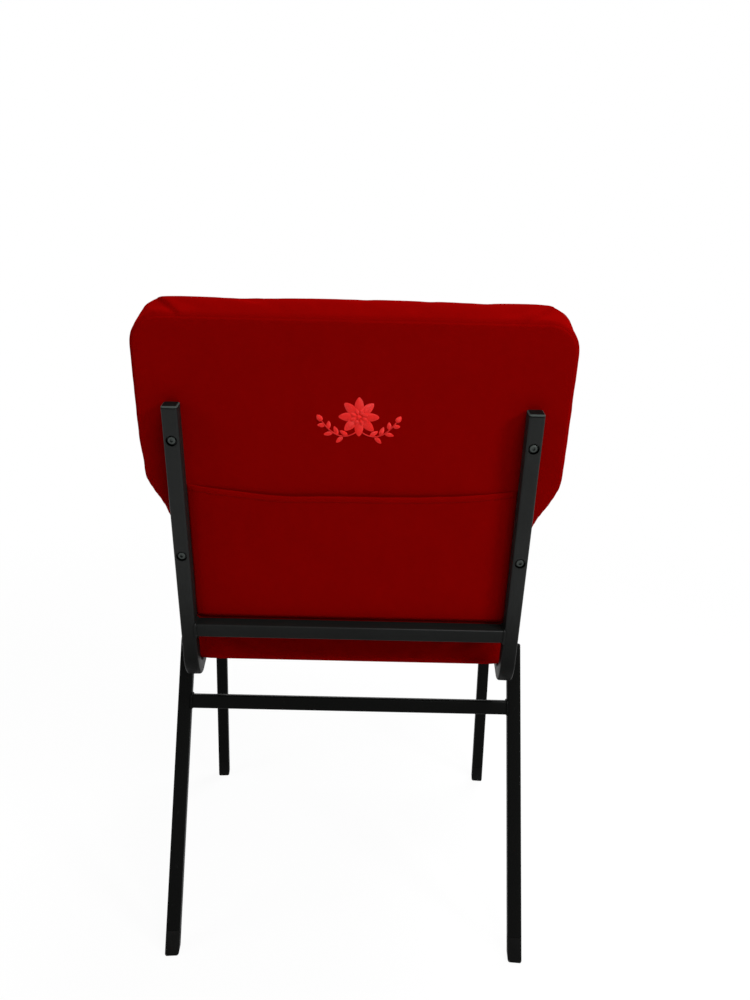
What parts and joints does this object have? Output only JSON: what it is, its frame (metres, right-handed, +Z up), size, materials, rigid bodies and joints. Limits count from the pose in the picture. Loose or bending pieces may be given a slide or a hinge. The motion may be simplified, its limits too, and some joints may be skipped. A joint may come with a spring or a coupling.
{
  "type": "stacking chair",
  "caption": "Stacking hall chair: bent square-tube steel frame with raked rear legs, upholstered seat, and a winged upholstered back with a book pouch behind; stands on plastic foot ends",
  "frame": {"origin": "On the floor under the middle of the chair's bounding box, z = 0 at the undersides of the foot ends", "axes": "+Z up, the chair faces -Y, +X is the sitter's left; the chair is mirror symmetric about x = 0"},
  "size_m": [0.505, 0.5014, 0.8738],
  "materials": {
    "black_frame_paint": "satin black powder coat",
    "black_plastic": "matte black moulded plastic",
    "red_upholstery": "deep red short-pile upholstery cloth",
    "foam": "open-cell cushion foam",
    "plywood": "unfinished plywood",
    "black_dust_cloth": "thin black non-woven cloth",
    "zinc_plated_steel": "zinc plated",
    "blackened_steel": "black plated screws"
  },
  "bodies": {
    "root": {"side_frame_left": "black_frame_paint", "side_frame_right": "black_frame_paint", "rear_leg_left": "black_frame_paint", "rear_leg_right": "black_frame_paint", "back_crossbar": "black_frame_paint", "rear_stretcher": "black_frame_paint", "front_stretcher": "black_frame_paint", "seat_tab_rear_left": "black_frame_paint", "seat_tab_rear_right": "black_frame_paint", "seat_tab_front_left": "black_frame_paint", "seat_tab_front_right": "black_frame_paint", "upright_cap_left": "black_plastic", "upright_cap_right": "black_plastic", "rear_leg_cap_left": "black_plastic", "rear_leg_cap_right": "black_plastic", "front_foot_left": "black_plastic", "front_foot_right": "black_plastic", "rear_foot_left": "black_plastic", "rear_foot_right": "black_plastic", "back_cover": "red_upholstery", "back_rear_panel": "red_upholstery", "book_pouch": "red_upholstery", "seat_cover": "red_upholstery", "back_foam": "foam", "seat_foam": "foam", "back_board": "plywood", "seat_board": "plywood", "seat_dust_cover": "black_dust_cloth", "back_screw_upper_left": "blackened_steel", "back_screw_upper_right": "blackened_steel", "back_screw_lower_left": "blackened_steel", "back_screw_lower_right": "blackened_steel", "crush_sleeve_upper_left": "zinc_plated_steel", "crush_sleeve_upper_right": "zinc_plated_steel", "crush_sleeve_lower_left": "zinc_plated_steel", "crush_sleeve_lower_right": "zinc_plated_steel", "back_t_nut_upper_left": "zinc_plated_steel", "back_t_nut_upper_right": "zinc_plated_steel", "back_t_nut_lower_left": "zinc_plated_steel", "back_t_nut_lower_right": "zinc_plated_steel", "seat_screw_rear_left": "blackened_steel", "seat_screw_rear_right": "blackened_steel", "seat_screw_front_left": "blackened_steel", "seat_screw_front_right": "blackened_steel", "seat_t_nut_rear_left": "zinc_plated_steel", "seat_t_nut_rear_right": "zinc_plated_steel", "seat_t_nut_front_left": "zinc_plated_steel", "seat_t_nut_front_right": "zinc_plated_steel"}
  },
  "joints": []
}
